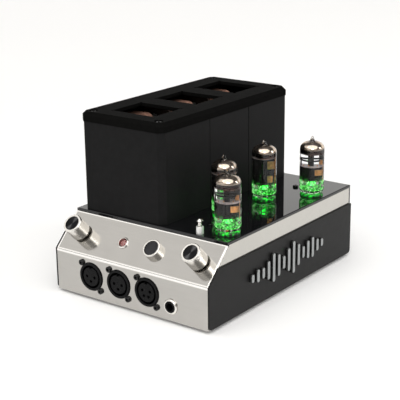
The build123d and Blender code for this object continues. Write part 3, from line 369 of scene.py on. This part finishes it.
def piece(name, shape, body, finish, place=Matrix(), replaced=(), crease=35, smooth=True):
    """Turns a shape into an object that rides a body."""
    bmesh.ops.recalc_face_normals(shape, faces=shape.faces)
    mesh = bpy.data.meshes.new(name)
    shape.to_mesh(mesh)
    shape.free()
    mesh.polygons.foreach_set("use_smooth", [smooth] * len(mesh.polygons))
    if smooth:
        mesh.set_sharp_from_angle(angle=math.radians(crease))
    mesh.materials.append(finish.material)
    made = bpy.data.objects.new(name, mesh)
    scene.collection.objects.link(made)
    made.matrix_world = place
    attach(made, body)
    if replaced:
        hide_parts(*replaced)
    return made


def middle(node_name):
    low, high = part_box(node_name)
    return (low + high) / 2


# --- Valves ----------------------------------------------------------------------------------
GLASS_R = 10.3
WALL = 0.8
HEIGHT = 48.3
SHOULDER = HEIGHT - 10.6
MICA_R = 8.9
FIN_FACE = -4.7
PIN_CIRCLE_R = 5.95
PIN_PLACES = 10


def dome(inset):
    """The glass from its shoulder to its nipple, drawn inset by so much."""
    radius = GLASS_R - inset
    neck = 2.6 - inset * 0.8
    steps = 12
    points = []
    for step in range(steps + 1):
        angle = math.radians(90 * step / steps)
        points.append((neck + (radius - neck) * math.cos(angle), SHOULDER + (6.1 - inset) * math.sin(angle)))
    return points


def nipple(inset):
    """The sealed tip above the dome."""
    heights = ((2.1, 44.3), (1.75, 45.2), (1.35, 46.3), (0.95, 47.3), (0.55, 48.0), (0.0, HEIGHT))
    return [(max(0.0, radius - inset), height - inset) for radius, height in heights]


def glass_shape():
    """A thin bulb with a thick rounded foot, as one closed skin."""
    foot = [(0, 0), (6.5, 0), (8.2, 0.3), (9.4, 1.1), (10.1, 2.3), (GLASS_R, 3.6)]
    outer = foot + [(GLASS_R, 14), (GLASS_R, 26)] + dome(0) + nipple(0)
    inner_foot = [(0, 2.4), (6.2, 2.4), (8.0, 2.7), (9.1, 3.6), (GLASS_R - WALL, 5.0)]
    inner = inner_foot + [(GLASS_R - WALL, 14), (GLASS_R - WALL, 26)] + dome(WALL) + nipple(WALL)
    shape = bmesh.new()
    lathe(shape, outer)
    lathe(shape, inner[::-1])
    return shape


def getter_finish():
    """The mirror of fired metal inside the dome: thin and brown at its lower edge; above that, bands darker, then
    bright cream, then darker again under the tip, painted to stand in for the reflection of the overhead light."""
    made = metal("getter_mirror", (0.62, 0.55, 0.47), 0.1, spread=0.1, grain=200)
    ragged = calculate(made.tree, "MULTIPLY_ADD", made.fine.outputs["Fac"], 0.9, -0.45)
    made.link(calculate(made.tree, "ADD", made.fade(0.0325, 0.0355), ragged, clamp=True), "Alpha")
    tone = made.node("ShaderNodeValToRGB", made.fade(0.033, 0.0445))
    # painted reflection: a cream band by height in place of the overhead light seen in the mirror
    painted_highlight = (0.66, 0.55, 0.45, 1)
    set_stops(tone, (0.0, (0.16, 0.06, 0.03, 1)), (0.14, (0.02, 0.008, 0.006, 1)),
              (0.36, (0.012, 0.010, 0.009, 1)), (0.50, painted_highlight), (0.80, painted_highlight), (0.92, (0.02, 0.016, 0.014, 1)))
    made.link(tone.outputs["Color"], "Base Color")
    return made


def glow_finish(name, strength, cover, clear=0.0150, full=0.0085):
    """Painted green glow for glass lit from below: emission in cells of vivid, dark and pale green, thinning out up
    to the height where it is clear."""
    made = Finish(name, (0.004, 0.03, 0.005), 0.15, spread=0.3, grain=600, Emission_Strength=strength)
    noise = made.node("ShaderNodeTexNoise", made.object_coords)
    noise.inputs["Scale"].default_value = 260
    noise.inputs["Detail"].default_value = 3
    cells = made.node("ShaderNodeTexVoronoi", made.object_coords)
    cells.inputs["Scale"].default_value = 760
    chance = made.node("ShaderNodeSeparateColor", cells.outputs["Color"])
    blend = calculate(made.tree, "MULTIPLY_ADD", chance.outputs[0], noise.outputs["Fac"], noise.outputs["Fac"])
    tone = made.node("ShaderNodeValToRGB", blend)
    # painted glow: emission colours for the lit glass
    set_stops(tone, (0.50, (0.0, 0.004, 0.001, 1)), (0.64, (0.0, 0.045, 0.004, 1)), (0.76, (0.001, 0.22, 0.006, 1)),
              (0.90, (0.004, 0.85, 0.010, 1)), (1.0, (0.3, 0.85, 0.28, 1)))
    made.link(tone.outputs["Color"], "Emission Color")
    patches = remap(made.tree, noise.outputs["Fac"], 0.42, 0.56, cover * 0.15, cover)
    made.link(calculate(made.tree, "MULTIPLY", made.fade(clear, full), patches, clamp=True), "Alpha")
    return made


def toothed(radius, teeth=28, depth=0.35):
    """The outline of a mica spacer, whose small teeth grip the glass."""
    outline = []
    for step in range(teeth * 2):
        angle = math.pi * step / teeth
        reach = radius - depth * (step % 2)
        outline.append((reach * math.cos(angle), reach * math.sin(angle)))
    return outline


def anode(shape, x, low, high, turn):
    """One anode: a flat tube with rolled seams at its sides and pressed ribs across it."""
    rise = high - low
    outline = rounded_box(3.1, 3.9, 1.6, centre=(x, 0))
    prism(shape, outline, low, high, turn)
    for side in (-1, 1):
        seam = rounded_box(0.35, 0.9, 0.25, steps=2, centre=(x + side * 3.2, 0))
        prism(shape, seam, low + 0.3, high - 0.3, turn)
    for share in (0.3, 0.7):
        rib = rounded_box(3.3, 4.1, 1.7, centre=(x, 0))
        prism(shape, rib, low + rise * share - 0.4, low + rise * share + 0.4, turn)
    for offset in (-1.6, -0.4, 0.8):
        prism(shape, rounded_box(0.22, 0.3, 0.1, steps=2, centre=(x + offset, -4.1)), low, high, turn)


def make_valve(number, long_anodes, shared):
    """One valve: glass, getter mirror, micas, anodes, wires, pins, a green lamp in its foot and painted green glow
    on the glass around it.
    """
    name = f"valve_{number}"
    low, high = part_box(f"{name}_glass")
    place = Matrix.Translation(((low.x + high.x) / 2, (low.y + high.y) / 2, low.z))
    turn = MM @ Matrix.Rotation(VIEW_AZIMUTH, 4, "Z")

    bulb = piece(f"{name}_bulb", glass_shape(), name, shared["glass"], place @ MM,
                 [f"{name}_glass"], crease=60)
    bulb.visible_shadow = False

    mirror = bmesh.new()
    straight = [(GLASS_R - WALL - 0.12, height) for height in (33.5, 35.0, 36.5)]
    lathe(mirror, straight + dome(WALL + 0.12) + nipple(WALL + 0.1)[:2], MM)
    piece(f"{name}_getter_mirror", mirror, name, shared["getter"], place, crease=60)

    top = 33.2 if long_anodes else 22.9
    mica = bmesh.new()
    prism(mica, toothed(MICA_R), top, top + 0.45, turn)
    prism(mica, toothed(7.6), top + 0.45, top + 0.6, turn)
    piece(f"{name}_micas", mica, name, shared["mica"], place, crease=20)
    dark_mica = bmesh.new()
    prism(dark_mica, toothed(8.4), 11.0, 11.5, turn)
    if not long_anodes:
        prism(dark_mica, toothed(MICA_R), 33.8, 34.3, turn)
    piece(f"{name}_dark_micas", dark_mica, name, shared["anode"], place, crease=20)

    plates = bmesh.new()
    anode(plates, -4.3, 11.6, top, turn)
    anode(plates, 1.0, 11.6, top, turn)
    prism(plates, rounded_box(2.6, 2.6, 1.0, centre=(5.4, 0.6)), 17.0, top, turn)
    if not long_anodes:
        prism(plates, rounded_box(1.6, 1.0, 0.5, centre=(-0.6, -0.6)), 21.9, 33.8, turn)
    piece(f"{name}_anodes", plates, name, shared["anode"], place,
          [f"{name}_electrodes"], crease=30)

    fins = bmesh.new()
    long_set = ((3.8, 2.0, 13.0, 18.6), (4.8, 3.0, 24.5, 31.0))
    short_set = ((4.6, 3.1, 15.6, 20.4), (6.2, 1.6, 25.0, 29.0))
    for x, half, start, end in (long_set if long_anodes else short_set):
        prism(fins, rounded_box(half, 0.35, 0.2, steps=2, centre=(x, FIN_FACE)), start, end, turn)
        rib = rounded_box(half - 0.3, 0.6, 0.2, steps=2, centre=(x, FIN_FACE))
        for share in (0.2, 0.5, 0.8):
            height = start + share * (end - start)
            prism(fins, rib, height - 0.25, height + 0.25, turn)
    for x in (-6.0, -2.4, 3.0, 7.8):
        tube(fins, [(x, -3.2, 9.8), (x, -3.2, top + 1.8)], 0.3, turn, 6)
    piece(f"{name}_grid_fins", fins, name, shared["copper"], place)

    ring = bmesh.new()
    ring_z, ring_r, ring_wire = (36.5, 4.5, 0.6) if long_anodes else (28.4, 6.8, 0.75)
    tube(ring, [(ring_r * math.cos(a), ring_r * math.sin(a), ring_z) for a in around(32)], ring_wire, turn, 8,
         closed=True)
    for x in (-ring_r, ring_r):
        tube(ring, [(x, 0, top), (x, 0, ring_z)], 0.5, turn, 6)
    piece(f"{name}_getter_ring", ring, name, shared["anode"], place, crease=60)

    wires = bmesh.new()
    for x in (-7.6, 7.6):
        tube(wires, [(x, 0, 10.4), (x, 0, 34.8)], 0.35, turn, 6)
    for step, angle in list(enumerate(around(PIN_PLACES)))[1:]:
        x = PIN_CIRCLE_R * math.cos(angle)
        y = PIN_CIRCLE_R * math.sin(angle)
        inward = 0.5 + 0.3 * ((step * 7) % 3)
        path = [(x, y, -6.3), (x, y, 3.2), (x * 0.97, y * 0.97, 5.5), (x * inward, y * inward, 10.9)]
        tube(wires, path, 0.45, MM, 8)
    piece(f"{name}_wires", wires, name, shared["wire"], place, crease=60)

    # painted glow: wall, foot and rings give off green light of their own in place of the lamp's light in the glass
    shell = bmesh.new()
    lathe(shell, [(7.6, 2.9), (8.3, 4.5), (8.4, 8.0), (8.2, 11.5), (7.8, 14.5)], MM)
    piece(f"{name}_lit_wall", shell, name, shared["lit_wall"], place).visible_shadow = False
    foot = bmesh.new()
    lathe(foot, [(0, 2.5), (4.2, 2.6), (7.0, 2.9), (8.4, 3.6), (7.0, 4.1), (4.6, 4.4), (3.4, 6.0), (2.4, 8.0),
                 (1.2, 9.2), (0, 9.6)], MM)
    piece(f"{name}_lit_foot", foot, name, shared["lit_foot"], place).visible_shadow = False
    rings = bmesh.new()
    for radius, height, thick in ((8.9, 3.9, 0.22), (8.6, 6.2, 0.2), (9.0, 8.6, 0.16)):
        loop = [(radius * math.cos(a), radius * math.sin(a), height + 0.35 * math.sin(3 * a + number))
                for a in around(48)]
        tube(rings, loop, thick, MM, 6, closed=True)
    piece(f"{name}_lit_rings", rings, name, shared["lit_ring"], place).visible_shadow = False

    lamp = bpy.data.lights.new(f"{name}_glow", "POINT")
    lamp.color = (0.02, 1.0, 0.05)
    lamp.energy = 0.002
    lamp.shadow_soft_size = 0.002
    glow = bpy.data.objects.new(f"{name}_glow", lamp)
    glow.matrix_world = place @ Matrix.Translation((0, 0, 0.0085))
    scene.collection.objects.link(glow)
    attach(glow, name)


valve_finishes = {
    "glass": finishes["glass_clear"],
    "getter": getter_finish(),
    "mica": Finish("mica", (0.50, 0.43, 0.42), 0.3, spread=0.6, grain=1400, Alpha=0.75),
    "anode": Finish("anode", (0.010, 0.0095, 0.0095), 0.4, spread=0.5, grain=900, IOR=1.12),
    "copper": metal("grid_copper", (0.72, 0.33, 0.12), 0.3, spread=0.5, grain=500),
    "wire": metal("nickel_wire", (0.55, 0.54, 0.52), 0.25, grain=900),
    "lit_wall": glow_finish("lit_wall", 0.9, 0.85, 0.0145, 0.006),
    "lit_foot": glow_finish("lit_foot", 1.5, 0.95),
    "lit_ring": glow_finish("lit_ring", 0.9, 0.9, 0.0145, 0.009),
}
for valve_number, long_plates in ((1, False), (2, True), (3, True), (4, False)):
    make_valve(valve_number, long_plates, valve_finishes)


# --- Transformer coils -----------------------------------------------------------------------
def make_coils():
    """Six coils, each a block of fill under one visible layer of round enamelled wire."""
    low, high = (corner * 1000 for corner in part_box("transformer_windings"))
    core_low, core_high = (corner * 1000 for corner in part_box("transformer_cores"))
    wire = 0.55
    flange = 1.5
    row_inset = 25.5
    half_x = 14.9
    half_z = (high.z - low.z) / 2
    centre_z = (high.z + low.z) / 2
    half_y = 16.9
    columns = (low.x + half_x, high.x - half_x)
    rows = (core_low.y + row_inset, (core_low.y + core_high.y) / 2, core_high.y - row_inset)
    turns = bmesh.new()
    fill = bmesh.new()
    wobble = random.Random(7)
    upright = MM @ Matrix.Rotation(math.pi / 2, 4, "X")
    for x in columns:
        for y in rows:
            outline = rounded_box(half_x - wire, half_z - wire, 4.6, centre=(x, centre_z))
            count = int(2 * (half_y - flange) / (2 * wire + 0.05))
            for turn in range(count):
                along = y - half_y + flange + (turn + 0.5) * 2 * (half_y - flange) / count
                lift = wobble.uniform(-0.12, 0.0)
                loop = [(px, along, pz + lift) for px, pz in outline]
                tube(turns, loop, wire, MM, 6, closed=True)
            inner = rounded_box(half_x - 1.2, half_z - 1.2, 4.0, centre=(x, centre_z))
            prism(fill, inner, -y - half_y, -y + half_y, upright)
    piece("coil_wires", turns, "chassis", finishes["copper_wire"],
          replaced=["transformer_windings"], crease=80)
    tape = Finish("coil_tape", (0.05, 0.03, 0.02), 0.5, spread=0.3, grain=300)
    piece("coil_fill", fill, "chassis", tape)


make_coils()


# --- Controls --------------------------------------------------------------------------------
def panel_place(node_name):
    """A place at the middle of a node, with Z out of the sloping panel and X across the amplifier."""
    out = Vector((0, -math.sqrt(0.5), math.sqrt(0.5)))
    across = Vector((1, 0, 0))
    turn = Matrix((across, out.cross(across), out)).transposed().to_4x4()
    return Matrix.Translation(middle(node_name)) @ turn @ MM


def spun_finish():
    """Spun black metal: fine circles, a streak of light from its radial grain, and painted highlight sectors in its
    colour that turn about the middle.
    """
    made = metal("spun_black", (0.028, 0.028, 0.029), 0.26, spread=0.15, grain=900, Anisotropic=0.85)
    highlight_sectors = made.node("ShaderNodeTexGradient", made.object_coords)
    highlight_sectors.gradient_type = "RADIAL"
    made.tree.links.new(highlight_sectors.outputs["Fac"], made.ramp.inputs["Fac"])
    # painted highlight: two lighter sectors of colour round the middle
    dark = (0.014, 0.014, 0.015, 1)
    light = (0.09, 0.09, 0.092, 1)
    set_stops(made.ramp, (0.0, dark), (0.12, dark), (0.2, light), (0.3, dark), (0.62, dark), (0.7, light),
              (0.8, dark))
    tangent = made.node("ShaderNodeTangent")
    tangent.direction_type = "RADIAL"
    tangent.axis = "Z"
    made.link(tangent.outputs[0], "Tangent")
    wave = made.node("ShaderNodeTexWave", made.object_coords)
    wave.wave_type = "RINGS"
    wave.rings_direction = "Z"
    wave.inputs["Scale"].default_value = 1.6
    made.bump.inputs["Strength"].default_value = 0.12
    made.tree.links.new(wave.outputs["Fac"], made.bump.inputs["Height"])
    return made


spun = spun_finish()
for control in ("volume", "load"):
    disc_shape = bmesh.new()
    lathe(disc_shape, [(0, -0.3), (6.05, -0.3), (6.05, 0.12), (5.9, 0.27), (5.5, 0.3), (4.0, 0.26), (2.0, 0.22),
                       (0, 0.2)], steps=64)
    piece(f"{control}_spun_disc", disc_shape, f"{control}_control", spun,
          panel_place(f"{control}_knob_disc"), [f"{control}_knob_disc"], crease=50)


def make_jewel():
    """A cut jewel: an upright girdle and two rings of flat facets under a small flat table."""
    shape = bmesh.new()
    sides = 8
    rings = []
    for radius, height, offset in ((3.7, -1.6, 0), (3.7, 0.4, 0), (2.9, 1.5, 0.5), (1.5, 2.3, 0)):
        angles = [2 * math.pi * (step + offset) / sides for step in range(sides)]
        rings.append([shape.verts.new(Vector((radius * math.cos(a), radius * math.sin(a), height))) for a in angles])
    shape.faces.new(rings[-1])
    shape.faces.new(rings[0][::-1])
    for index, (lower, upper) in enumerate(zip(rings, rings[1:])):
        for step in range(sides):
            after = (step + 1) % sides
            before = (step - 1) % sides
            if index == 0:
                shape.faces.new((lower[step], lower[after], upper[after], upper[step]))
            elif index == 1:
                shape.faces.new((lower[step], lower[after], upper[step]))
                shape.faces.new((lower[step], upper[step], upper[before]))
            else:
                shape.faces.new((lower[step], lower[after], upper[after]))
                shape.faces.new((lower[step], upper[after], upper[step]))
    return shape


piece("jewel_facets", make_jewel(), "chassis", finishes["red_jewel"],
      panel_place("pilot_jewel"), ["pilot_jewel"], smooth=False)


# --- Studio ----------------------------------------------------------------------------------
def make_world():
    """A bright backdrop, a softbox overhead, cards up to the left and low in front, and a dim room around them."""
    world = bpy.data.worlds.new("studio")
    scene.world = world
    world.use_nodes = True
    tree = world.node_tree
    background = tree.nodes["Background"]
    coords = tree.nodes.new("ShaderNodeTexCoord")

    def share(direction, start, end):
        """0 to 1 as the view direction turns towards this one, by the cosine of the angle between them."""
        dot = tree.nodes.new("ShaderNodeVectorMath")
        dot.operation = "DOT_PRODUCT"
        dot.inputs[1].default_value = Vector(direction).normalized()
        tree.links.new(coords.outputs["Generated"], dot.inputs[0])
        return remap(tree, dot.outputs["Value"], start, end, easing="SMOOTHSTEP")

    behind = calculate(tree, "MULTIPLY_ADD", share((-0.6, 0.8, 0), 0.3, 0.6), 0.8, 0.2)
    level = calculate(tree, "MULTIPLY", share((0, 0, 1), 0.5, 0.38), behind)
    overhead = share((0.254, -0.338, 0.906), 0.74, 0.79)
    upper_left = share((-0.574, -0.298, 0.764), 0.9, 0.95)
    low_card = share((-0.35, -0.93, 0.12), 0.85, 0.92)
    for source, strength in ((overhead, 1.75), (upper_left, 1.0), (low_card, 0.45)):
        level = calculate(tree, "MULTIPLY_ADD", source, strength, level)
    room = 0.1
    level = calculate(tree, "ADD", level, room)
    tint = tree.nodes.new("ShaderNodeVectorMath")
    tint.operation = "SCALE"
    tint.inputs[0].default_value = (1.0, 0.985, 0.96)
    tree.links.new(level, tint.inputs["Scale"])
    tree.links.new(tint.outputs[0], background.inputs["Color"])


def area_light(name, place, target, width, height, power):
    lamp = bpy.data.lights.new(name, "AREA")
    lamp.shape = "RECTANGLE"
    lamp.size = width
    lamp.size_y = height
    lamp.energy = power
    made = bpy.data.objects.new(name, lamp)
    made.location = place
    made.rotation_euler = (Vector(target) - Vector(place)).to_track_quat("-Z", "Y").to_euler()
    scene.collection.objects.link(made)


def make_floor():
    """A wide pale table top with a very slight mottle."""
    shape = bmesh.new()
    lathe(shape, [(0, -0.1), (900, -0.1), (2500, -0.1), (9000, -0.1)], MM, 96)
    finish = Finish("floor_white", (0.94, 0.94, 0.94), 0.6, spread=0.005, grain=40, relief=0.0,
                    Specular_IOR_Level=0.2, Emission_Color=(0.97, 0.98, 1.0, 1), Emission_Strength=0.06)
    mesh = bpy.data.meshes.new("floor")
    bmesh.ops.recalc_face_normals(shape, faces=shape.faces)
    shape.to_mesh(mesh)
    shape.free()
    mesh.materials.append(finish.material)
    floor = bpy.data.objects.new("floor", mesh)
    scene.collection.objects.link(floor)


def make_camera():
    """The photograph's viewing angle: 37 degrees round to the right and 17 degrees up."""
    side = middle("side_plate_right")
    elevation = math.radians(17.296)
    roll = math.radians(-0.654)
    distance = 0.91589
    target = Vector((-0.00914, side.y, 0.06296))
    back = Vector((math.sin(VIEW_AZIMUTH) * math.cos(elevation), -math.cos(VIEW_AZIMUTH) * math.cos(elevation),
                   math.sin(elevation)))
    right = Vector((math.cos(VIEW_AZIMUTH), math.sin(VIEW_AZIMUTH), 0))
    up = back.cross(right)
    tilted_right = right * math.cos(roll) + up * math.sin(roll)
    tilted_up = up * math.cos(roll) - right * math.sin(roll)
    data = bpy.data.cameras.new("camera")
    data.lens = 97.79
    data.sensor_width = 36
    camera = bpy.data.objects.new("camera", data)
    turn = Matrix((tilted_right, tilted_up, back)).transposed().to_4x4()
    camera.matrix_world = Matrix.Translation(target + back * distance) @ turn
    scene.collection.objects.link(camera)
    scene.camera = camera


make_world()
make_floor()
make_camera()
area_light("key", (0.9, -1.1, 1.3), (0, 0, 0.08), 0.7, 0.7, 6)
area_light("rim", (1.2, 0.9, 0.7), (0.03, 0, 0.09), 0.25, 0.9, 4)
scene.view_settings.view_transform = "Standard"
